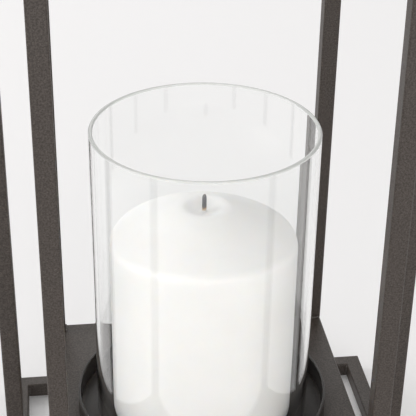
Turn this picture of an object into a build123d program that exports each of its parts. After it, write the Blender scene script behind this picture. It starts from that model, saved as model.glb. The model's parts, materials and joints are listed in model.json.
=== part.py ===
from build123d import *
import os

# Open-frame hurricane candle lantern, in millimetres.
# Origin: middle of the footprint, on the ground. +Z up, the front is -Y.
# An outer hoop stands on a base ring. It carries an inner cage of four posts whose floor is a raised
# tray, and a cup ring on the tray keeps the glass and the pillar candle in place.

# ---------------------------------------------------------------- driving dimensions
TUBE = 9.5                # outside of every square tube
TUBE_WALL = 1.2
TUBE_CORNER = 1.1         # outside corner radius of the tube

RING_W = 231.0            # base ring, outside, left to right
RING_D = 195.0            # base ring, outside, front to back
PAD_HEIGHT = 1.5          # rubber pads under the base ring
PAD_D = 8.0
PAD_CHAMFER = 0.4

CAGE_W = 172.0            # inner cage, outside, square in plan
CAGE_X = -3.65            # the cage hangs this far off the middle of the hoop
CAGE_TOP = 450.0
TRAY_TOP = 58.5           # surface that the glass and the candle stand on
TRAY_PLATE = 2.0
TRAY_LIP = 9.5            # whole height of the tray's turned-down edge

CUP_R = 70.75             # cup ring, outside radius
CUP_WALL = 1.6
CUP_HEIGHT = 11.5
CUP_EDGE_R = 0.5          # rounding of the ring's top edges

GLASS_R = 60.0            # glass, outside radius
GLASS_WALL = 2.2
GLASS_HEIGHT = 174.0
GLASS_RIM_R = 0.9         # fire-polished rim
GLASS_FOOT_R = 0.4

CANDLE_R = 51.0
CANDLE_SIDE = 108.5       # height where the straight side ends
SHOULDER_R = 48.4         # top of the small rounded shoulder
SHOULDER_HEIGHT = 111.6
CROWN_MIDDLE = (31.0, 121.2)        # radius and height halfway up the sloping top
WELL_R = 12.5             # lip of the well round the wick
WELL_LIP_HEIGHT = 129.0
WELL_MIDDLE = (7.5, 126.2)
WELL_FLOOR_HEIGHT = 125.2
CANDLE_FOOT_R = 4.0       # rounding at the foot of the candle
WICK_D = 2.6
WICK_TIP_R = 0.8
WICK_STANDS = 10.8        # length of wick above the wax
SUSTAINER_R = 9.0
SUSTAINER_THICK = 0.8
SUSTAINER_NECK_R = 2.6
SUSTAINER_NECK_HEIGHT = 4.0

HANDLE_BAR = 7.0          # square bar of the handle
HANDLE_REACH = CAGE_W / 2 - TUBE / 2      # pivot to grip: the grip folds onto the back rail
HANDLE_GAP = 0.3          # between the folded handle and the frame
PIN_D = 5.0
PIN_RUNNING = 0.05        # radial clearance of the handle on its pins
PIN_HEAD_R = 3.7
PIN_HEAD_THICK = 1.8
PIN_HEAD_ROUND = 1.25
EAR_THICK = 3.0
BRACKET_BASE = 1.5
WASHER_THICK = 0.4
WASHER_R = 3.5
WASHER_PLAY = 0.1         # side play of the handle arm against its washer
HANDLE_CORNER = 0.8

# ---------------------------------------------------------------- worked-out places
RING_TOP = PAD_HEIGHT + TUBE
POST_CENTRE = CAGE_W / 2 - TUBE / 2
HOOP_X = RING_W / 2 - TUBE / 2            # middle of the outer posts
PIVOT_Z = CAGE_TOP + HANDLE_GAP + HANDLE_BAR / 2
EAR_OUTSIDE = RING_W / 2 - PIN_HEAD_THICK
EAR_INSIDE = EAR_OUTSIDE - EAR_THICK
ARM_OUTSIDE = EAR_INSIDE - WASHER_THICK - WASHER_PLAY
ARM_CENTRE = ARM_OUTSIDE - HANDLE_BAR / 2

os.makedirs("parts", exist_ok=True)


def save(part, name):
    """Label a finished piece and write it under its own name."""
    part.label = name
    export_step(part, f"parts/{name}.step")


def tube_section():
    """Hollow square with rounded corners, added to the sketch in progress."""
    RectangleRounded(TUBE, TUBE, TUBE_CORNER)
    bore = TUBE - 2 * TUBE_WALL
    RectangleRounded(bore, bore, TUBE_CORNER / 2, mode=Mode.SUBTRACT)


def mitred_rail(length, offset, centre_x, bottom, turn):
    """One side of a rectangle of tube, cut at 45 degrees at both ends.

    turn 0 is the front side, 90 the right, 180 the back and 270 the left.
    """
    side = Plane((centre_x, 0, bottom + TUBE / 2)).rotated((0, 0, turn))
    middle = side.from_local_coords((0, TUBE / 2 - offset, 0))
    with BuildPart() as rail:
        with BuildSketch(Plane(middle, x_dir=(0, 0, 1), z_dir=side.x_dir)):
            tube_section()
        extrude(amount=length / 2, both=True)
        for end in (-1, 1):
            corner = side.from_local_coords((end * length / 2, -offset, 0))
            inward = side.x_dir * -end - side.y_dir
            split(bisect_by=Plane(corner, x_dir=(0, 0, 1), z_dir=inward), keep=Keep.TOP)
    return rail.part


def tube_rectangle(prefix, width, depth, centre_x, bottom):
    """Four mitred rails that close a rectangle, each a piece of its own."""
    sides = {"front": (width, depth / 2, 0), "right": (depth, width / 2, 90),
             "back": (width, depth / 2, 180), "left": (depth, width / 2, 270)}
    for side, (length, offset, turn) in sides.items():
        save(mitred_rail(length, offset, centre_x, bottom, turn), f"{prefix}_{side}")


def post(x, y, bottom, top):
    """Upright square tube."""
    with BuildPart() as upright:
        with BuildSketch(Plane.XY.offset(bottom)):
            with Locations((x, y)):
                tube_section()
        extrude(amount=top - bottom)
    return upright.part


# ---------------------------------------------------------------- outer hoop
tube_rectangle("base_rail", RING_W, RING_D, 0, PAD_HEIGHT)

pad_x = RING_W / 2 - TUBE / 2
pad_y = RING_D / 2 - TUBE / 2
pads = {"front_left": (-pad_x, -pad_y), "front_right": (pad_x, -pad_y),
        "back_left": (-pad_x, pad_y), "back_right": (pad_x, pad_y)}
for corner, place in pads.items():
    with BuildPart() as pad:
        with BuildSketch():
            with Locations(place):
                Circle(PAD_D / 2)
        extrude(amount=PAD_HEIGHT)
        chamfer(pad.edges().group_by(Axis.Z)[0], length=PAD_CHAMFER)
    save(pad.part, f"foot_pad_{corner}")

for side, sign in (("left", -1), ("right", 1)):
    save(post(sign * HOOP_X, 0, RING_TOP, CAGE_TOP - BRACKET_BASE), f"hoop_post_{side}")

    # short tube that ties the top of the hoop post to the top of the cage
    start = CAGE_X + sign * CAGE_W / 2
    reach = sign * (RING_W / 2 - TUBE) - start
    with BuildPart() as tie:
        with BuildSketch(Plane((start, 0, CAGE_TOP - TUBE / 2), x_dir=(0, 1, 0), z_dir=(sign, 0, 0))):
            tube_section()
        extrude(amount=abs(reach))
    save(tie.part, f"top_tie_{side}")

# ---------------------------------------------------------------- inner cage
with BuildPart() as tray:
    with BuildSketch(Plane.XY.offset(TRAY_TOP - TRAY_LIP)):
        with Locations((CAGE_X, 0)):
            RectangleRounded(CAGE_W, CAGE_W, TUBE_CORNER)
    extrude(amount=TRAY_LIP)
    with BuildSketch(Plane.XY.offset(TRAY_TOP - TRAY_LIP)):
        with Locations((CAGE_X, 0)):
            Rectangle(CAGE_W - 2 * TRAY_PLATE, CAGE_W - 2 * TRAY_PLATE)
    extrude(amount=TRAY_LIP - TRAY_PLATE, mode=Mode.SUBTRACT)
save(tray.part, "tray")

for depth_name, y in (("front", -POST_CENTRE), ("back", POST_CENTRE)):
    for side, sign in (("left", -1), ("right", 1)):
        upright = post(CAGE_X + sign * POST_CENTRE, y, TRAY_TOP, CAGE_TOP - TUBE)
        save(upright, f"cage_post_{depth_name}_{side}")

tube_rectangle("top_rail", CAGE_W, CAGE_W, CAGE_X, CAGE_TOP - TUBE)

with BuildPart() as cup:
    with BuildSketch(Plane.XY.offset(TRAY_TOP)):
        with Locations((CAGE_X, 0)):
            Circle(CUP_R)
            Circle(CUP_R - CUP_WALL, mode=Mode.SUBTRACT)
    extrude(amount=CUP_HEIGHT)
    fillet(cup.edges().group_by(Axis.Z)[-1], radius=CUP_EDGE_R)
save(cup.part, "cup_ring")

# ---------------------------------------------------------------- glass and candle
with BuildPart() as glass:
    with BuildSketch(Plane.XY.offset(TRAY_TOP)):
        with Locations((CAGE_X, 0)):
            Circle(GLASS_R)
            Circle(GLASS_R - GLASS_WALL, mode=Mode.SUBTRACT)
    extrude(amount=GLASS_HEIGHT)
    fillet(glass.edges().group_by(Axis.Z)[-1], radius=GLASS_RIM_R)
    fillet(glass.edges().group_by(Axis.Z)[0], radius=GLASS_FOOT_R)
save(glass.part, "glass_cylinder")

candle_plane = Plane((CAGE_X, 0, TRAY_TOP), x_dir=(1, 0, 0), z_dir=(0, -1, 0))
candle_axis = Axis((CAGE_X, 0, 0), (0, 0, 1))

with BuildPart() as wax:
    with BuildSketch(candle_plane):
        with BuildLine():
            foot = Polyline((0, 0), (CANDLE_R, 0), (CANDLE_R, CANDLE_SIDE))
            shoulder = TangentArc(foot @ 1, (SHOULDER_R, SHOULDER_HEIGHT), tangent=foot % 1)
            crown = ThreePointArc(shoulder @ 1, CROWN_MIDDLE, (WELL_R, WELL_LIP_HEIGHT))
            well = ThreePointArc(crown @ 1, WELL_MIDDLE, (0, WELL_FLOOR_HEIGHT))
            Line(well @ 1, (0, 0))
        make_face()
    revolve(axis=candle_axis)
    fillet(wax.edges().filter_by(GeomType.CIRCLE).group_by(Axis.Z)[0], radius=CANDLE_FOOT_R)
    # through bore for the wick and a pocket below for the metal sustainer
    with BuildSketch(Plane.XY.offset(TRAY_TOP)):
        with Locations((CAGE_X, 0)):
            Circle(WICK_D / 2)
    extrude(amount=WELL_LIP_HEIGHT, mode=Mode.SUBTRACT)
    with BuildSketch(Plane.XY.offset(TRAY_TOP)):
        with Locations((CAGE_X, 0)):
            Circle(SUSTAINER_R)
    extrude(amount=SUSTAINER_THICK, mode=Mode.SUBTRACT)
    with BuildSketch(Plane.XY.offset(TRAY_TOP)):
        with Locations((CAGE_X, 0)):
            Circle(SUSTAINER_NECK_R)
    extrude(amount=SUSTAINER_NECK_HEIGHT, mode=Mode.SUBTRACT)
save(wax.part, "candle_wax")

with BuildPart() as wick:
    with BuildSketch(Plane.XY.offset(TRAY_TOP)):
        with Locations((CAGE_X, 0)):
            Circle(WICK_D / 2)
    extrude(amount=WELL_FLOOR_HEIGHT + WICK_STANDS)
    fillet(wick.edges().group_by(Axis.Z)[-1], radius=WICK_TIP_R)
save(wick.part, "wick")

with BuildPart() as sustainer:
    with BuildSketch(Plane.XY.offset(TRAY_TOP)):
        with Locations((CAGE_X, 0)):
            Circle(SUSTAINER_R)
            Circle(WICK_D / 2, mode=Mode.SUBTRACT)
    extrude(amount=SUSTAINER_THICK)
    with BuildSketch(Plane.XY.offset(TRAY_TOP)):
        with Locations((CAGE_X, 0)):
            Circle(SUSTAINER_NECK_R)
            Circle(WICK_D / 2, mode=Mode.SUBTRACT)
    extrude(amount=SUSTAINER_NECK_HEIGHT)
save(sustainer.part, "wick_sustainer")

# ---------------------------------------------------------------- folding handle
# It turns about the line through both pins, and lies flat on the back rail when folded.
with BuildPart() as handle:
    with BuildLine(Plane.XY.offset(PIVOT_Z)) as bend_line:
        FilletPolyline((-ARM_CENTRE, 0), (-ARM_CENTRE, HANDLE_REACH),
                       (ARM_CENTRE, HANDLE_REACH), (ARM_CENTRE, 0), radius=HANDLE_BAR)
    with BuildSketch(Plane((-ARM_CENTRE, 0, PIVOT_Z), x_dir=(1, 0, 0), z_dir=(0, 1, 0))):
        RectangleRounded(HANDLE_BAR, HANDLE_BAR, HANDLE_CORNER)
    sweep()
    # rounded eyes at the two ends, bored for the pins
    for sign in (-1, 1):
        with BuildSketch(Plane((sign * (ARM_CENTRE - HANDLE_BAR / 2), 0, PIVOT_Z),
                               x_dir=(0, 1, 0), z_dir=(sign, 0, 0))):
            Circle(HANDLE_BAR / 2)
        extrude(amount=HANDLE_BAR)
        with BuildSketch(Plane((sign * (ARM_CENTRE - HANDLE_BAR), 0, PIVOT_Z),
                               x_dir=(0, 1, 0), z_dir=(sign, 0, 0))):
            Circle(PIN_D / 2 + PIN_RUNNING)
        extrude(amount=2 * HANDLE_BAR, mode=Mode.SUBTRACT)
save(handle.part, "handle")

for side, sign in (("left", -1), ("right", 1)):
    across = Plane((sign * EAR_INSIDE, 0, PIVOT_Z), x_dir=(0, sign, 0), z_dir=(sign, 0, 0))

    # bracket: a cap on the hoop post with an upright ear for the pin
    with BuildPart() as bracket:
        with BuildSketch(Plane.XY.offset(CAGE_TOP - BRACKET_BASE)):
            with Locations((sign * HOOP_X, 0)):
                RectangleRounded(TUBE, TUBE, TUBE_CORNER)
        extrude(amount=BRACKET_BASE)
        ear_drop = PIVOT_Z - CAGE_TOP + BRACKET_BASE
        with BuildSketch(across):
            Circle(TUBE / 2)
            with Locations((0, -ear_drop / 2)):
                Rectangle(TUBE, ear_drop)
            Circle(PIN_D / 2, mode=Mode.SUBTRACT)
        extrude(amount=EAR_THICK)
    save(bracket.part, f"handle_bracket_{side}")

    with BuildPart() as pin:
        shank_start = Plane((sign * (ARM_CENTRE - HANDLE_BAR / 2), 0, PIVOT_Z),
                            x_dir=(0, 1, 0), z_dir=(sign, 0, 0))
        with BuildSketch(shank_start):
            Circle(PIN_D / 2)
        extrude(amount=EAR_OUTSIDE - (ARM_CENTRE - HANDLE_BAR / 2))
        with BuildSketch(across.offset(EAR_THICK)):
            Circle(PIN_HEAD_R)
        extrude(amount=PIN_HEAD_THICK)
        fillet(pin.edges().sort_by(Axis.X)[-1 if sign > 0 else 0], radius=PIN_HEAD_ROUND)
    save(pin.part, f"handle_pin_{side}")

    with BuildPart() as washer:
        with BuildSketch(across.offset(-WASHER_THICK)):
            Circle(WASHER_R)
            Circle(PIN_D / 2 + PIN_RUNNING, mode=Mode.SUBTRACT)
        extrude(amount=WASHER_THICK)
    save(washer.part, f"handle_washer_{side}")
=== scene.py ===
import json
import math
import random

import bpy
from mathutils import Matrix, Vector, noise


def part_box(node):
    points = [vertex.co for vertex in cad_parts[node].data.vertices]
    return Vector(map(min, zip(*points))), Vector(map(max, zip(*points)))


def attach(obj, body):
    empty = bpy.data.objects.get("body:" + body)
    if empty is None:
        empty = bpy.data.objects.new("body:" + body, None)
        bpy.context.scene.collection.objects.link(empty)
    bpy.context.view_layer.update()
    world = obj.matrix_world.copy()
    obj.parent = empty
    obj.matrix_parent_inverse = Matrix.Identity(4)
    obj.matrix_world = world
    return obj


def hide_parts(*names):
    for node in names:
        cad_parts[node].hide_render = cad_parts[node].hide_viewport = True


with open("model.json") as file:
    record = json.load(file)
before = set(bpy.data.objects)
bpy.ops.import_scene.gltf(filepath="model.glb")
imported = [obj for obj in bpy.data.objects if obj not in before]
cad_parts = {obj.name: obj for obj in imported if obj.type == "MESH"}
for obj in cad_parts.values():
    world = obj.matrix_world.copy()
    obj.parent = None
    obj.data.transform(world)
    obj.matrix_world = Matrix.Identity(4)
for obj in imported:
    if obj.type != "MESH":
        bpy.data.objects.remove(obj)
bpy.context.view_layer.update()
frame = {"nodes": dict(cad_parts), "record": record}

MM = 0.001
FRAME = "lantern_frame"
SIDES = (("left", 1), ("right", -1))      # each with the sign of the way in towards the middle
DEPTHS = (("front", 1), ("back", -1))
scene = bpy.context.scene

tray_lo, tray_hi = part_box("tray")
TRAY_TOP = tray_hi.z
AXIS_X = (tray_lo.x + tray_hi.x) / 2      # the candle, the glass and the cup ring stand on this axis
AXIS_Y = (tray_lo.y + tray_hi.y) / 2


# ---------------------------------------------------------------- mesh helpers
ON_AXIS = 1e-7      # a radius below this is a single point on the axis


def make_object(name, verts, faces, material, body):
    """A smooth mesh piece in the shared frame that rides on a body."""
    mesh = bpy.data.meshes.new(name)
    mesh.from_pydata(verts, [], faces)
    mesh.validate()
    mesh.update()
    for polygon in mesh.polygons:
        polygon.use_smooth = True
    piece = bpy.data.objects.new(name, mesh)
    scene.collection.objects.link(piece)
    mesh.materials.append(material)
    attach(piece, body)
    return piece


def no_wobble(angle, radius, height):
    """A wobble gives what is added to the radius and to the height of a turned point."""
    return 0.0, 0.0


def lathe(profile, steps, centre, wobble=no_wobble, closed=True):
    """Vertices and faces of a profile of (radius, height) turned about a vertical axis.

    A closed profile is a ring's section; an open one starts and ends on the axis.
    """
    verts = []
    faces = []
    rows = []
    for radius, height in profile:
        if radius < ON_AXIS:
            rows.append([len(verts)] * steps)
            verts.append((centre[0], centre[1], height))
            continue
        row = []
        for k in range(steps):
            angle = math.tau * k / steps
            dr, dz = wobble(angle, radius, height)
            row.append(len(verts))
            verts.append((centre[0] + (radius + dr) * math.cos(angle),
                          centre[1] + (radius + dr) * math.sin(angle), height + dz))
        rows.append(row)
    count = len(rows)
    for i in range(count if closed else count - 1):
        a, b = rows[i], rows[(i + 1) % count]
        for k in range(steps):
            n = (k + 1) % steps
            corner = [a[k], a[n], b[n], b[k]]
            face = [v for j, v in enumerate(corner) if v not in corner[:j]]
            if len(face) > 2:
                faces.append(face)
    return verts, faces


def spline(points, per_span):
    """Catmull-Rom points through the given 2D points."""
    out = []
    padded = [points[0]] + list(points) + [points[-1]]
    for i in range(1, len(padded) - 2):
        p0, p1, p2, p3 = (Vector(p) for p in padded[i - 1:i + 3])
        for k in range(per_span):
            t = k / per_span
            q = 0.5 * (2 * p1 + (p2 - p0) * t + (2 * p0 - 5 * p1 + 4 * p2 - p3) * t * t
                       + (3 * p1 - p0 - 3 * p2 + p3) * t ** 3)
            out.append((q.x, q.y))
    out.append(tuple(points[-1]))
    return out


def arc(centre, radius, start, end, steps):
    """Points of a circular arc in the (radius, height) plane, angles in degrees."""
    out = []
    for k in range(steps + 1):
        a = math.radians(start + (end - start) * k / steps)
        out.append((centre[0] + radius * math.cos(a), centre[1] + radius * math.sin(a)))
    return out


# ---------------------------------------------------------------- material helpers
def new_material(name):
    material = bpy.data.materials.new(name)
    material.use_nodes = True
    tree = material.node_tree
    shader = tree.nodes["Principled BSDF"]
    return material, tree, shader


def add(tree, kind, **inputs):
    """A node with its unlinked inputs set by name."""
    node = tree.nodes.new(kind)
    for key, value in inputs.items():
        node.inputs[key.replace("_", " ")].default_value = value
    return node


def object_coords(tree):
    return tree.nodes.new("ShaderNodeTexCoord").outputs["Object"]


def noise_tex(tree, coords, scale, detail=3.0, roughness=0.55):
    node = add(tree, "ShaderNodeTexNoise", Scale=scale, Detail=detail, Roughness=roughness)
    tree.links.new(coords, node.inputs["Vector"])
    return node.outputs["Fac"]


def ramp(tree, value, stops):
    """Colour ramp with (position, grey or colour) stops."""
    node = tree.nodes.new("ShaderNodeValToRGB")
    elements = node.color_ramp.elements
    while len(elements) < len(stops):
        elements.new(0.5)
    for element, (position, colour) in zip(elements, stops):
        if not isinstance(colour, tuple):
            colour = (colour, colour, colour)
        element.position = position
        element.color = (*colour, 1.0)
    tree.links.new(value, node.inputs["Fac"])
    return node.outputs["Color"]


def mix(tree, factor, a, b, blend="MIX"):
    """Colour mix; a and b are sockets or colours, factor a socket or number."""
    node = tree.nodes.new("ShaderNodeMix")
    node.data_type = "RGBA"
    node.blend_type = blend
    for socket, value in ((node.inputs[0], factor), (node.inputs[6], a), (node.inputs[7], b)):
        if isinstance(value, bpy.types.NodeSocket):
            tree.links.new(value, socket)
        elif isinstance(value, tuple):
            socket.default_value = (*value, 1.0)
        else:
            socket.default_value = value
    return node.outputs[2]


def bump(tree, height, strength, distance, normal=None):
    node = add(tree, "ShaderNodeBump", Strength=strength, Distance=distance)
    tree.links.new(height, node.inputs["Height"])
    if normal is not None:
        tree.links.new(normal, node.inputs["Normal"])
    return node.outputs["Normal"]


def darken_circle(tree, coords, base, centre, radius):
    """The base colour, darkened inside a circle seen from above: painted shade."""
    flat = tree.nodes.new("ShaderNodeMapping")
    flat.inputs["Scale"].default_value = (1.0, 1.0, 0.0)
    tree.links.new(coords, flat.inputs["Vector"])
    reach = tree.nodes.new("ShaderNodeVectorMath")
    reach.operation = "DISTANCE"
    reach.inputs[1].default_value = (*centre, 0.0)
    tree.links.new(flat.outputs[0], reach.inputs[0])
    clean = add(tree, "ShaderNodeMapRange", From_Min=radius - PAINTED_SHADE_EDGE, From_Max=radius)
    tree.links.new(reach.outputs["Value"], clean.inputs["Value"])
    # painted shade: the base colour is multiplied down inside the circle
    shaded = mix(tree, 1.0, base, PAINTED_SHADE, "MULTIPLY")
    return mix(tree, clean.outputs[0], shaded, base)


def powder_coat(name, colours, roughness, peel=1.0, painted_shade=None):
    """Textured powder coat: fine grain, scattered flecks, orange peel and faint cloudy patches.

    colours are dark, light and fleck. The last argument, a point and a radius, marks a circle inside
    which the coat is darkened with painted shade.
    """
    dark, light, fleck = colours
    material, tree, shader = new_material(name)
    coords = object_coords(tree)
    grain = noise_tex(tree, coords, GRAIN_SCALE, 2.0, 0.6)
    cloud = noise_tex(tree, coords, CLOUD_SCALE, 4.0, 0.6)
    base = mix(tree, ramp(tree, grain, [(0.38, 0.0), (0.62, 1.0)]), dark, light)
    base = mix(tree, ramp(tree, cloud, [(0.35, 0.0), (0.7, 0.16)]), base, light)
    cells = add(tree, "ShaderNodeTexVoronoi", Scale=FLECK_SCALE, Randomness=1.0)
    tree.links.new(coords, cells.inputs["Vector"])
    flecks = ramp(tree, cells.outputs["Distance"], [(0.12, 0.30), (0.28, 0.0)])
    base = mix(tree, flecks, base, fleck)
    if painted_shade is not None:
        base = darken_circle(tree, coords, base, *painted_shade)
    tree.links.new(base, shader.inputs["Base Color"])
    rough = ramp(tree, cloud, [(0.3, roughness[0]), (0.7, roughness[1])])
    tree.links.new(rough, shader.inputs["Roughness"])
    peel_noise = noise_tex(tree, coords, PEEL_SCALE, 2.0, 0.5)
    normal = bump(tree, peel_noise, 0.35 * peel, 0.22 * MM)
    normal = bump(tree, grain, 0.38 * peel, 0.12 * MM, normal)
    tree.links.new(normal, shader.inputs["Normal"])
    return material


# ---------------------------------------------------------------- materials
GRAIN_SCALE = 1150.0      # noise scales of the coat, about the number of features to the metre
CLOUD_SCALE = 16.0
FLECK_SCALE = 800.0
PEEL_SCALE = 520.0
PAINTED_SHADE = (0.36, 0.34, 0.33)      # painted shade: the tray's colour is multiplied by this inside the cup ring
PAINTED_SHADE_EDGE = 3.0 * MM
INSIDE_CUP = 70.0 * MM

BRONZE = ((0.028, 0.020, 0.015), (0.072, 0.057, 0.048), (0.170, 0.147, 0.129))
BRONZE_ROUGHNESS = (0.42, 0.56)
ENAMEL = ((0.014, 0.011, 0.010), (0.025, 0.021, 0.018), (0.055, 0.048, 0.042))
WELD = ((0.040, 0.032, 0.027), (0.110, 0.096, 0.086), (0.240, 0.220, 0.200))

paint = powder_coat("powder_coat", BRONZE, BRONZE_ROUGHNESS)
cup_paint = powder_coat("cup_enamel", ENAMEL, (0.30, 0.40), peel=0.5)
weld_paint = powder_coat("weld_coat", WELD, (0.30, 0.42))
# the tray is darkened inside the cup ring with painted shade
tray_paint = powder_coat("tray_coat", BRONZE, BRONZE_ROUGHNESS, painted_shade=((AXIS_X, AXIS_Y), INSIDE_CUP))


def hardware_material():
    """Blackened steel with a fine grain and lighter, rubbed patches."""
    material, tree, shader = new_material("blackened_steel")
    coords = object_coords(tree)
    fine = noise_tex(tree, coords, 900.0, 3.0)
    broad = noise_tex(tree, coords, 120.0, 3.0)
    colour = ramp(tree, broad, [(0.3, (0.030, 0.028, 0.027)), (0.75, (0.085, 0.078, 0.072))])
    tree.links.new(colour, shader.inputs["Base Color"])
    tree.links.new(ramp(tree, fine, [(0.3, 0.30), (0.7, 0.46)]), shader.inputs["Roughness"])
    shader.inputs["Metallic"].default_value = 0.8
    tree.links.new(bump(tree, fine, 0.3, 0.06 * MM), shader.inputs["Normal"])
    return material


def rubber_material():
    """Black moulded rubber with a dull, fine texture."""
    material, tree, shader = new_material("pad_rubber")
    coords = object_coords(tree)
    fine = noise_tex(tree, coords, 1400.0, 3.0)
    tree.links.new(ramp(tree, fine, [(0.3, (0.016, 0.016, 0.016)), (0.7, (0.034, 0.033, 0.032))]),
                   shader.inputs["Base Color"])
    tree.links.new(ramp(tree, fine, [(0.3, 0.72), (0.7, 0.9)]), shader.inputs["Roughness"])
    tree.links.new(bump(tree, fine, 0.4, 0.1 * MM), shader.inputs["Normal"])
    return material


def tin_material():
    """Dull tinned sheet of the wick sustainer."""
    material, tree, shader = new_material("tinned_steel")
    coords = object_coords(tree)
    spangle = add(tree, "ShaderNodeTexVoronoi", Scale=420.0)
    tree.links.new(coords, spangle.inputs["Vector"])
    tree.links.new(ramp(tree, spangle.outputs["Distance"],
                        [(0.0, (0.58, 0.58, 0.56)), (0.9, (0.72, 0.72, 0.70))]),
                   shader.inputs["Base Color"])
    fine = noise_tex(tree, coords, 800.0, 3.0)
    tree.links.new(ramp(tree, fine, [(0.3, 0.30), (0.7, 0.48)]), shader.inputs["Roughness"])
    shader.inputs["Metallic"].default_value = 1.0
    tree.links.new(bump(tree, fine, 0.2, 0.05 * MM), shader.inputs["Normal"])
    return material


def wax_material():
    """Ivory paraffin: light goes in and comes out softly, with faint mottling and a satin skin."""
    material, tree, shader = new_material("candle_wax")
    coords = object_coords(tree)
    mottle = noise_tex(tree, coords, 42.0, 5.0, 0.6)
    crystals = noise_tex(tree, coords, 620.0, 3.0, 0.6)
    colour = ramp(tree, mottle, [(0.30, (0.935, 0.929, 0.916)), (0.72, (0.968, 0.963, 0.952))])
    tree.links.new(colour, shader.inputs["Base Color"])
    tree.links.new(ramp(tree, mottle, [(0.3, 0.40), (0.7, 0.54)]), shader.inputs["Roughness"])
    shader.inputs["IOR"].default_value = 1.44
    shader.inputs["Subsurface Weight"].default_value = 0.40
    shader.inputs["Subsurface Radius"].default_value = (1.0, 0.86, 0.70)
    shader.inputs["Subsurface Scale"].default_value = 4.0 * MM
    normal = bump(tree, mottle, 0.25, 0.5 * MM)
    normal = bump(tree, crystals, 0.10, 0.08 * MM, normal)
    tree.links.new(normal, shader.inputs["Normal"])
    return material


def wick_material(foot, tip):
    """Braided cotton, waxed and pale at the foot and charred above; foot and tip are heights."""
    material, tree, shader = new_material("wick_cotton")
    coords = object_coords(tree)
    split = tree.nodes.new("ShaderNodeSeparateXYZ")
    tree.links.new(coords, split.inputs[0])
    height = add(tree, "ShaderNodeMapRange", From_Min=foot, From_Max=tip)
    fibre = noise_tex(tree, coords, 2600.0, 4.0, 0.7)
    patch = noise_tex(tree, coords, 700.0, 2.0, 0.5)
    shift = tree.nodes.new("ShaderNodeMath")
    shift.operation = "MULTIPLY_ADD"
    tree.links.new(patch, shift.inputs[0])
    shift.inputs[1].default_value = 1.6 * MM      # the charring starts at uneven heights
    tree.links.new(split.outputs["Z"], shift.inputs[2])
    tree.links.new(shift.outputs[0], height.inputs["Value"])
    tone = ramp(tree, height.outputs[0], [
        (0.00, (0.90, 0.87, 0.80)), (0.18, (0.88, 0.81, 0.70)), (0.25, (0.64, 0.44, 0.26)),
        (0.31, (0.20, 0.15, 0.13)), (0.40, (0.10, 0.10, 0.11)), (0.80, (0.13, 0.13, 0.145)),
        (1.00, (0.20, 0.20, 0.21))])
    colour = mix(tree, ramp(tree, fibre, [(0.35, 0.35), (0.65, 0.0)]), tone, (0.02, 0.02, 0.02))
    tree.links.new(colour, shader.inputs["Base Color"])
    shader.inputs["Roughness"].default_value = 0.9
    tree.links.new(bump(tree, fibre, 0.8, 0.2 * MM), shader.inputs["Normal"])
    return material


GLASS_IOR = 1.5


def glass_material():
    """Clear soda glass with a faint green cast; lamps shine through it onto the candle."""
    material, tree, shader = new_material("clear_glass")
    shader.inputs["Base Color"].default_value = (0.992, 0.998, 0.994, 1.0)
    shader.inputs["Transmission Weight"].default_value = 1.0
    shader.inputs["IOR"].default_value = GLASS_IOR
    coords = object_coords(tree)
    smear = noise_tex(tree, coords, 26.0, 5.0, 0.6)
    tree.links.new(ramp(tree, smear, [(0.45, 0.0), (0.85, 0.035)]), shader.inputs["Roughness"])
    stretch = tree.nodes.new("ShaderNodeMapping")
    stretch.inputs["Scale"].default_value = (1.0, 1.0, 0.12)
    tree.links.new(coords, stretch.inputs["Vector"])
    draw = noise_tex(tree, stretch.outputs[0], 30.0, 2.0, 0.4)
    tree.links.new(bump(tree, draw, 0.05, 2.0 * MM), shader.inputs["Normal"])
    clear = add(tree, "ShaderNodeBsdfTransparent")
    path = tree.nodes.new("ShaderNodeLightPath")
    blend = tree.nodes.new("ShaderNodeMixShader")
    tree.links.new(path.outputs["Is Shadow Ray"], blend.inputs[0])
    tree.links.new(shader.outputs[0], blend.inputs[1])
    tree.links.new(clear.outputs[0], blend.inputs[2])
    tree.links.new(blend.outputs[0], tree.nodes["Material Output"].inputs["Surface"])
    return material


def rim_material():
    """Fire-polished rim: slightly green glass, mostly a pale diffuse surface: painted light for the light
    the rounded rim gathers.
    """
    material, tree, shader = new_material("glass_rim")
    coords = object_coords(tree)
    seeds = noise_tex(tree, coords, 300.0, 3.0)
    # the pale diffuse colour is painted light: it stands in for the light the rim gathers
    tree.links.new(ramp(tree, seeds, [(0.3, (0.93, 0.955, 0.93)), (0.7, (0.97, 0.985, 0.97))]),
                   shader.inputs["Base Color"])
    shader.inputs["Transmission Weight"].default_value = 0.25
    shader.inputs["IOR"].default_value = GLASS_IOR
    shader.inputs["Roughness"].default_value = 0.12
    tree.links.new(bump(tree, seeds, 0.1, 0.2 * MM), shader.inputs["Normal"])
    return material


def floor_material():
    """Pale matt floor with a faint grain and a little light of its own."""
    material, tree, shader = new_material("studio_floor")
    coords = object_coords(tree)
    grain = noise_tex(tree, coords, 60.0, 4.0)
    tree.links.new(ramp(tree, grain, [(0.3, (0.932, 0.925, 0.933)), (0.7, (0.944, 0.937, 0.945))]),
                   shader.inputs["Base Color"])
    shader.inputs["Roughness"].default_value = 0.75
    shader.inputs["Emission Color"].default_value = (1.0, 0.995, 0.99, 1.0)
    shader.inputs["Emission Strength"].default_value = 0.10
    return material


hardware = hardware_material()
rubber = rubber_material()
tin = tin_material()
wax = wax_material()
glass = glass_material()


def repaint(name, material):
    """Gives a CAD node its finished material."""
    mesh = frame["nodes"][name].data
    mesh.materials.clear()
    mesh.materials.append(material)


for row in frame["record"]["subparts"]:
    slot = row["material_slot"]
    if slot == "frame_paint":
        repaint(row["node"], paint)
    elif slot == "hardware":
        repaint(row["node"], hardware)
repaint("wick_sustainer", tin)

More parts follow.
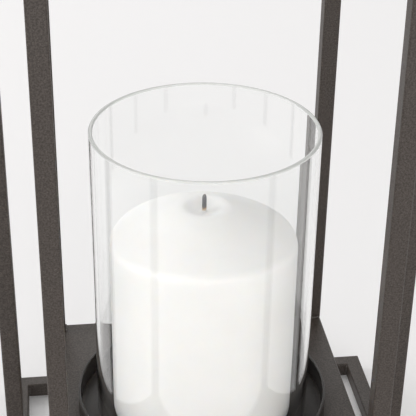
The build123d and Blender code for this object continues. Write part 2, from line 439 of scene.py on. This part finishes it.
# ---------------------------------------------------------------- glass cylinder
glass_lo, glass_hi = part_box("glass_cylinder")
GLASS_R = 60.0 * MM
GLASS_WALL = 2.2 * MM
GLASS_FOOT_R = 0.5 * MM
GLASS_STEPS = 256
GLASS_WANDER = 0.06 * MM
WALL_ROWS = 12      # of faces, up the wall


def glass_wobble(angle, radius, height):
    """Drawn glass is never quite round: the wall wanders inward, by twice GLASS_WANDER at most."""
    p = Vector((math.cos(angle) * 1.4, math.sin(angle) * 1.4, height * 3.0))
    return -GLASS_WANDER * (noise.noise(p) + 1.0), 0.0


def glass_profile():
    """Section of the glass: rounded foot, thin wall, fire-polished rim."""
    rim = GLASS_WALL / 2
    foot = GLASS_FOOT_R
    outside = GLASS_R
    inside = GLASS_R - GLASS_WALL
    bottom, top = glass_lo.z, glass_hi.z
    profile = arc((inside + foot, bottom + foot), foot, 180, 270, 6)
    profile += arc((outside - foot, bottom + foot), foot, 270, 360, 6)
    hold = 0.08 * MM      # rows this close to the curved ends keep the flat wall's normals flat
    wall = [bottom + foot + hold, bottom + foot + 2 * hold]
    wall += [bottom + (top - bottom) * k / WALL_ROWS for k in range(1, WALL_ROWS)]
    wall += [top - rim - 2 * hold, top - rim - hold]
    profile += [(outside, z) for z in wall]
    profile += arc((outside - rim, top - rim), rim, 0, 180, 14)
    profile += [(inside, z) for z in reversed(wall)]
    return profile


verts, faces = lathe(glass_profile(), GLASS_STEPS, (AXIS_X, AXIS_Y), glass_wobble)
cylinder = make_object("glass_chimney", verts, faces, glass, "glass_body")
cylinder.data.materials.append(rim_material())
for polygon in cylinder.data.polygons:
    if polygon.center.z > glass_hi.z - GLASS_WALL / 2:
        polygon.material_index = 1
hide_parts("glass_cylinder")

# ---------------------------------------------------------------- candle
wax_lo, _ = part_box("candle_wax")
WAX_R = 51.0 * MM
WAX_FOOT_R = 4.0 * MM
WAX_STEPS = 192
# Every (radius, height) below is in mm, with heights from the underside of the wax.
SUSTAINER_POCKET = [(0.0, 4.2), (2.9, 4.2), (2.9, 1.0), (9.3, 0.95), (9.3, 0.0)]
UNDERSIDE = [(20.0, 0.0), (35.0, 0.0)]
SHOULDER = [(51.0, 105.5), (50.9, 107.8), (50.4, 109.6), (49.5, 110.9), (48.2, 111.9), (46.0, 113.2)]
CROWN = [(42.0, 115.5), (37.0, 118.2), (31.0, 121.2), (25.5, 123.9), (21.0, 126.1), (17.5, 127.6),
         (14.4, 128.7), (12.0, 128.97)]
WELL = [(10.4, 128.75), (8.8, 128.2), (7.2, 127.5), (5.4, 126.8), (3.2, 126.2), (1.9, 126.1), (1.3, 126.5)]
WICK_HOLE = [(1.15, 125.4), (0.0, 124.4)]


def wax_profile():
    """Open section from the middle of the underside, up the side, over the crown, into the well."""
    base = wax_lo.z
    profile = [(r * MM, base + z * MM) for r, z in SUSTAINER_POCKET + UNDERSIDE]
    profile += arc((WAX_R - WAX_FOOT_R, base + WAX_FOOT_R), WAX_FOOT_R, 270, 360, 8)
    profile += [(WAX_R, base + z * MM) for z in range(10, 104, 6)]
    profile += [(r * MM, base + z * MM) for r, z in spline(SHOULDER + CROWN + WELL, 4) + WICK_HOLE]
    return profile


def fade(value, start, length):
    """0 up to start, rising to 1 over the length."""
    return max(0.0, min(1.0, (value - start) / length))


def wax_wobble(angle, radius, height):
    """Hand-finished wax: the side wanders inward a little and the shoulder stands higher in front."""
    z = height - wax_lo.z
    p = Vector((math.cos(angle), math.sin(angle), height * 16.0))
    side = -0.22 * MM * (noise.noise(p * 1.3) + 1.0) * min(1.0, radius / (40.0 * MM))
    q = Vector((math.cos(angle) * radius * 28, math.sin(angle) * radius * 28, 3.1))
    off_wick = fade(radius, 1.5 * MM, 6.0 * MM)
    sag = -0.35 * MM * (noise.noise(q) + 0.75) * fade(z, 109.0 * MM, 10.0 * MM) * off_wick
    outer = fade(radius, 18.0 * MM, 30.0 * MM) ** 2
    front = max(0.0, -math.sin(angle)) ** 2
    lift = 3.4 * MM * front * outer * fade(z, 90.0 * MM, 18.0 * MM)
    return side, min(0.0, sag) + lift


verts, faces = lathe(wax_profile(), WAX_STEPS, (AXIS_X, AXIS_Y), wax_wobble, closed=False)
candle = make_object("pillar_wax", verts, faces, wax, "candle_body")
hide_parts("candle_wax")


# ---------------------------------------------------------------- wick
wick_lo, wick_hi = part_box("wick")
STRANDS = 4
STRAND_R = 0.66 * MM
STRAND_SIDES = 10
ORBIT = 0.60 * MM           # from the wick's middle to a strand's
TWIST_PITCH = 6.5 * MM
RING_GAP = 0.45 * MM
TIP = 2.5 * MM              # the wick narrows over this length
WICK_FOOT = wax_lo.z + 125.9 * MM      # where it comes out of the wax


def wick_strands():
    """Cotton strands twisted together, drawn in towards the top."""
    rng = random.Random(7)
    verts = []
    faces = []
    low = wick_lo.z + 0.1 * MM
    for strand in range(STRANDS):
        top = wick_hi.z - (0.1 + 0.9 * rng.random()) * MM
        steps = int((top - low) / RING_GAP)
        previous = None
        for i in range(steps + 1):
            z = low + (top - low) * i / steps
            turn = math.tau * (z / TWIST_PITCH + strand / STRANDS)
            near_tip = max(0.0, 1 - (wick_hi.z - z) / TIP)
            ragged = noise.noise(Vector((strand * 7.0, z * 900, 0.0)))
            r = STRAND_R * (1 - 0.60 * near_tip ** 2) * (1 + 0.06 * ragged)
            o = ORBIT * (1 - 0.55 * near_tip ** 2)
            centre = (AXIS_X + o * math.cos(turn), AXIS_Y + o * math.sin(turn))
            ring = []
            for k in range(STRAND_SIDES):
                a = math.tau * k / STRAND_SIDES
                ring.append(len(verts))
                verts.append((centre[0] + r * math.cos(a), centre[1] + r * math.sin(a), z))
            if previous is None:
                faces.append(ring[::-1])
            else:
                for k in range(STRAND_SIDES):
                    n = (k + 1) % STRAND_SIDES
                    faces.append((previous[k], previous[n], ring[n], ring[k]))
            previous = ring
        faces.append(previous)
    return verts, faces


verts, faces = wick_strands()
cotton = wick_material(WICK_FOOT, wick_hi.z)
wick = make_object("braided_wick", verts, faces, cotton, "candle_body")
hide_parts("wick")

# ---------------------------------------------------------------- cup ring
cup_lo, cup_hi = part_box("cup_ring")
CUP_R = (cup_hi.x - cup_lo.x) / 2
CUP_WALL = 1.6 * MM
CUP_STEPS = 224
LIP_ROUNDING = 0.98      # of half the wall


def cup_profile():
    """Section of the ring: rolled strip with a rounded top edge."""
    lip = CUP_WALL / 2 * LIP_ROUNDING
    inside = CUP_R - CUP_WALL
    bottom, top = cup_lo.z, cup_hi.z
    profile = [(inside, bottom), (CUP_R, bottom), (CUP_R, bottom + 2 * MM), (CUP_R, bottom + 5 * MM),
               (CUP_R, top - 2 * MM)]
    profile += arc((CUP_R - CUP_WALL / 2, top - lip), lip, 0, 180, 10)
    profile += [(inside, top - 2 * MM), (inside, bottom + 5 * MM), (inside, bottom + 2 * MM)]
    return profile


verts, faces = lathe(cup_profile(), CUP_STEPS, (AXIS_X, AXIS_Y))
cup = make_object("cup_band", verts, faces, cup_paint, FRAME)
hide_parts("cup_ring")


# ---------------------------------------------------------------- tray
TRAY_BEND_R = 1.6 * MM
TRAY_SHEET = 2.0 * MM
TRAY_CORNER_R = 1.3 * MM
TOP_CORNER_R = 0.6 * MM         # the least corner radius, at the top of the bend
INNER_CORNER_R = 0.8 * MM
BEND_STEPS = 8
CORNER_STEPS = 6


def bent_tray():
    """Pressed tray: soft bend radius round the top, a thin turned-down edge, open underneath."""
    half = (tray_hi.x - tray_lo.x) / 2

    def outline(inset, z, radius):
        """Rounded square, this far inside the outer edge."""
        points = []
        reach = half - inset - radius
        for quarter, (sx, sy) in enumerate(((1, 1), (-1, 1), (-1, -1), (1, -1))):
            for k in range(CORNER_STEPS + 1):
                a = math.radians(90 * quarter + 90 * k / CORNER_STEPS)
                points.append((AXIS_X + sx * reach + radius * math.cos(a),
                               AXIS_Y + sy * reach + radius * math.sin(a), z))
        return points

    loops = []
    for k in range(BEND_STEPS + 1):
        a = math.radians(k * 90 / BEND_STEPS)
        inset = TRAY_BEND_R * (1 - math.cos(a))
        z = TRAY_TOP - TRAY_BEND_R + TRAY_BEND_R * math.sin(a)
        loops.append(outline(inset, z, max(TRAY_CORNER_R - inset, TOP_CORNER_R)))
    loops.reverse()
    loops.append(outline(0.0, tray_lo.z, TRAY_CORNER_R))
    loops.append(outline(TRAY_SHEET, tray_lo.z, INNER_CORNER_R))
    loops.append(outline(TRAY_SHEET, TRAY_TOP - TRAY_SHEET, INNER_CORNER_R))
    verts = [p for loop in loops for p in loop]
    count = len(loops[0])
    faces = [list(range(count))]
    for i in range(len(loops) - 1):
        for k in range(count):
            n = (k + 1) % count
            faces.append((i * count + n, i * count + k, (i + 1) * count + k, (i + 1) * count + n))
    faces.append([len(verts) - 1 - k for k in range(count)])
    return verts, faces


verts, faces = bent_tray()
tray = make_object("pressed_tray", verts, faces, tray_paint, FRAME)
tray.data.polygons[0].use_smooth = False
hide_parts("tray")


# ---------------------------------------------------------------- weld beads
BEAD_R = 1.3 * MM
BEAD_STEP = 0.22 * MM
BEAD_SEGMENTS = 6        # round its section
BEAD_END = 1.1 * MM      # it tapers over this length at each end
RIPPLE_PITCH = 1.15 * MM
POST_INSET = 0.4 * MM    # a bead stops this far from the corner of its post
TIE_INSET = 0.6 * MM
RAIL_INSET = 0.8 * MM


def bead(start, end, side_a, side_b, seed):
    """Slightly convex fillet weld along a line, in the corner between two faces, with its ripples.

    side_a and side_b point along the two faces, away from the corner.
    """
    start, end = Vector(start), Vector(end)
    side_a, side_b = Vector(side_a), Vector(side_b)
    length = (end - start).length
    along = (end - start) / length
    steps = max(8, int(length / BEAD_STEP))
    verts = []
    faces = []
    for i in range(steps + 1):
        s = length * i / steps
        taper = min(1.0, min(s, length - s) / BEAD_END + 0.15)
        ripple = 0.07 * math.cos(math.tau * s / RIPPLE_PITCH)
        wander = 0.10 * noise.noise(Vector((s * 420, seed * 3.7, 0.0)))
        r = BEAD_R * taper * (1 + ripple + wander)
        point = start + along * s
        for k in range(BEAD_SEGMENTS + 1):
            a = math.pi / 2 * k / BEAD_SEGMENTS
            bulge = 0.80 + 0.08 * math.sin(2 * a)
            verts.append(point + (side_a * math.cos(a) + side_b * math.sin(a)) * r * bulge
                         - (side_a + side_b) * 0.02 * BEAD_R)
        verts.append(point - (side_a + side_b) * 0.12 * BEAD_R)
    row = BEAD_SEGMENTS + 2
    for i in range(steps):
        for k in range(row):
            n = (k + 1) % row
            faces.append((i * row + k, i * row + n, (i + 1) * row + n, (i + 1) * row + k))
    faces.append(list(range(row))[::-1])
    faces.append([steps * row + k for k in range(row)])
    return [tuple(v) for v in verts], faces


class Beads:
    """Collects beads into one mesh."""

    def __init__(self):
        self.verts = []
        self.faces = []
        self.count = 0

    def add(self, start, end, side_a, side_b):
        verts, faces = bead(start, end, side_a, side_b, self.count)
        base = len(self.verts)
        self.verts += verts
        self.faces += [[base + i for i in face] for face in faces]
        self.count += 1

    def build(self, name):
        return make_object(name, self.verts, self.faces, weld_paint, FRAME)


def end_beads(beads, lo, hi, z, sides, along):
    """Fillets round one end of an upright, on the sides named by their outward direction.

    z is the height of that end, and along points from it up or down the upright.
    """
    for dx, dy in sides:
        if dx:
            x = hi.x if dx > 0 else lo.x
            beads.add((x, lo.y + POST_INSET, z), (x, hi.y - POST_INSET, z), (dx, 0, 0), along)
        else:
            y = hi.y if dy > 0 else lo.y
            beads.add((lo.x + POST_INSET, y, z), (hi.x - POST_INSET, y, z), (0, dy, 0), along)


UP = (0, 0, 1)
DOWN = (0, 0, -1)
rail_lo, rail_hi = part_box("top_rail_front")
foot_welds, top_welds, hoop_welds = Beads(), Beads(), Beads()
for depth, dy in DEPTHS:
    for side, dx in SIDES:
        lo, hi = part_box(f"cage_post_{depth}_{side}")
        inner = [(dx, 0), (0, dy)]
        end_beads(foot_welds, lo, hi, lo.z, inner, UP)
        end_beads(top_welds, lo, hi, hi.z, inner, DOWN)
        x = hi.x if dx > 0 else lo.x
        y = hi.y if dy > 0 else lo.y
        top_welds.add((x, y, rail_lo.z + 0.5 * MM), (x, y, rail_hi.z - 0.5 * MM), (dx, 0, 0), (0, dy, 0))

for side, _ in SIDES:
    lo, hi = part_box(f"hoop_post_{side}")
    end_beads(hoop_welds, lo, hi, lo.z, [(0, 1), (0, -1)], UP)
    tie_lo, tie_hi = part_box(f"top_tie_{side}")
    for x, along in ((tie_lo.x, (1, 0, 0)), (tie_hi.x, (-1, 0, 0))):
        ends = ((x, y, tie_lo.z) for y in (tie_lo.y + TIE_INSET, tie_hi.y - TIE_INSET))
        hoop_welds.add(*ends, along, DOWN)

base_lo, base_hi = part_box("base_rail_front")
corners_x = ((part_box("base_rail_left")[1].x, 1), (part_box("base_rail_right")[0].x, -1))
corners_y = ((base_hi.y, 1), (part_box("base_rail_back")[0].y, -1))
for x, dx in corners_x:
    for y, dy in corners_y:
        ends = ((x, y, z) for z in (base_lo.z + RAIL_INSET, base_hi.z - RAIL_INSET))
        hoop_welds.add(*ends, (dx, 0, 0), (0, dy, 0))

foot_welds.build("weld_cage_feet")
top_welds.build("weld_cage_top")
hoop_welds.build("weld_hoop")

# ---------------------------------------------------------------- feet and handle pins
PAD_EDGE_R = 0.5 * MM
PAD_STEPS = 40
# The pad's underside in mm, from its middle: a dimple, a ring, a groove and the outer ring.
PAD_SOLE = [(0.0, 0.35), (1.2, 0.35), (1.5, 0.0), (2.3, 0.0), (2.5, 0.3), (2.9, 0.3), (3.1, 0.0)]


def pad_profile(radius, bottom, top):
    """Open section of a moulded pad: grooved sole, rounded edge, flat top."""
    profile = [(r * MM, bottom + z * MM) for r, z in PAD_SOLE]
    profile += arc((radius - PAD_EDGE_R, bottom + PAD_EDGE_R), PAD_EDGE_R, 270, 360, 5)
    return profile + [(radius, top), (0.0, top)]


for corner in ("front_left", "front_right", "back_left", "back_right"):
    lo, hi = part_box(f"foot_pad_{corner}")
    centre = ((lo.x + hi.x) / 2, (lo.y + hi.y) / 2)
    verts, faces = lathe(pad_profile((hi.x - lo.x) / 2, lo.z, hi.z), PAD_STEPS, centre, closed=False)
    pad = make_object(f"rubber_{corner}", verts, faces, rubber, FRAME)
    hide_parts(f"foot_pad_{corner}")

PIN_SHANK_R = 2.5 * MM
PIN_HEAD = 1.8 * MM      # height of the head
PIN_STEPS = 48
# The head in mm, as (radius, height over its underside): a dome with a shallow dimple.
PIN_DOME = [(3.62, 0.75), (3.2, 1.25), (2.5, 1.58), (1.6, 1.76), (0.9, 1.72), (0.6, 1.60), (0.0, 1.56)]


def turned_pin(name, side):
    """Shank and domed head of a handle pin, turned about X."""
    lo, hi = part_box(name)
    y, z = (lo.y + hi.y) / 2, (lo.z + hi.z) / 2
    outward = -1 if side == "left" else 1
    end = lo.x if side == "left" else hi.x
    start = hi.x if side == "left" else lo.x
    head_r = (hi.z - lo.z) / 2
    under = abs(end - start) - PIN_HEAD      # where the head's underside is
    profile = [(0.0, 0.0), (PIN_SHANK_R - 0.4 * MM, 0.0), (PIN_SHANK_R, 0.4 * MM), (PIN_SHANK_R, under),
               (head_r - 0.1 * MM, under), (head_r, under + 0.2 * MM)]
    profile += [(r * MM, under + h * MM) for r, h in spline(PIN_DOME, 3)]
    verts, faces = lathe(profile, PIN_STEPS, (0.0, 0.0), closed=False)
    placed = [(start + outward * v[2], y + v[0] * outward, z + v[1]) for v in verts]
    return placed, faces


for side, _ in SIDES:
    verts, faces = turned_pin(f"handle_pin_{side}", side)
    pin = make_object(f"rivet_{side}", verts, faces, hardware, FRAME)
    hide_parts(f"handle_pin_{side}")

# ---------------------------------------------------------------- floor, lights, camera
FLOOR = 6.0      # half its width
floor_mesh = bpy.data.meshes.new("studio_floor")
floor_mesh.from_pydata([(-FLOOR, -FLOOR, 0), (FLOOR, -FLOOR, 0), (FLOOR, FLOOR, 0), (-FLOOR, FLOOR, 0)],
                       [], [(0, 1, 2, 3)])
floor_mesh.materials.append(floor_material())
floor = bpy.data.objects.new("studio_floor", floor_mesh)
scene.collection.objects.link(floor)

world = bpy.data.worlds.new("studio")
scene.world = world
world.use_nodes = True
background = world.node_tree.nodes["Background"]
background.inputs["Color"].default_value = (1.0, 0.995, 0.985, 1.0)
background.inputs["Strength"].default_value = 0.45

LAMP_TARGET = Vector((0.0, 0.0, 0.14))      # a little above the middle of the candle
LAMPS = (      # name, place, size, power, colour
    ("soft_left", (-1.8, 0.2, 1.0), 1.4, 17.0, (1.0, 0.992, 0.98)),
    ("soft_right", (1.8, 0.2, 0.9), 1.4, 4.2, (1.0, 0.992, 0.98)),
    ("soft_back", (0.0, 1.8, 1.6), 1.6, 11.3, (1.0, 0.992, 0.985)),
    ("front_low", (0.2, -1.9, 0.5), 1.2, 11.7, (1.0, 0.975, 0.95)),
)
for name, place, size, power, colour in LAMPS:
    data = bpy.data.lights.new(name, "AREA")
    data.shape = "SQUARE"
    data.size = size
    data.energy = power
    data.color = colour
    lamp = bpy.data.objects.new(name, data)
    scene.collection.objects.link(lamp)
    lamp.location = place
    lamp.rotation_mode = "QUATERNION"
    lamp.rotation_quaternion = (LAMP_TARGET - Vector(place)).to_track_quat("-Z", "Y")

CAMERA_FROM_TRAY = Vector((-0.0741, -0.5676, 0.4441))      # from the middle of the tray's top
YAW, PITCH, ROLL = (math.radians(a) for a in (7.7573, 28.9690, 0.8870))
forward = Vector((math.sin(YAW) * math.cos(PITCH), math.cos(YAW) * math.cos(PITCH), -math.sin(PITCH)))
level = Vector((math.cos(YAW), -math.sin(YAW), 0.0))
upright = level.cross(forward)
right = math.cos(ROLL) * level + math.sin(ROLL) * upright
up = -math.sin(ROLL) * level + math.cos(ROLL) * upright

camera_data = bpy.data.cameras.new("camera")
camera = bpy.data.objects.new("camera", camera_data)
scene.collection.objects.link(camera)
scene.camera = camera
camera_data.sensor_width = 36.0
camera_data.lens = 106.71
camera_data.shift_x = -0.00533
camera_data.clip_start = 0.01
rotation = Matrix((right, up, -forward)).transposed().to_4x4()
station = Vector((AXIS_X, AXIS_Y, TRAY_TOP)) + CAMERA_FROM_TRAY
camera.matrix_world = Matrix.Translation(station) @ rotation

scene.view_settings.view_transform = "Standard"
scene.cycles.max_bounces = 32
scene.cycles.transmission_bounces = 32
scene.cycles.glossy_bounces = 12
scene.cycles.transparent_max_bounces = 16
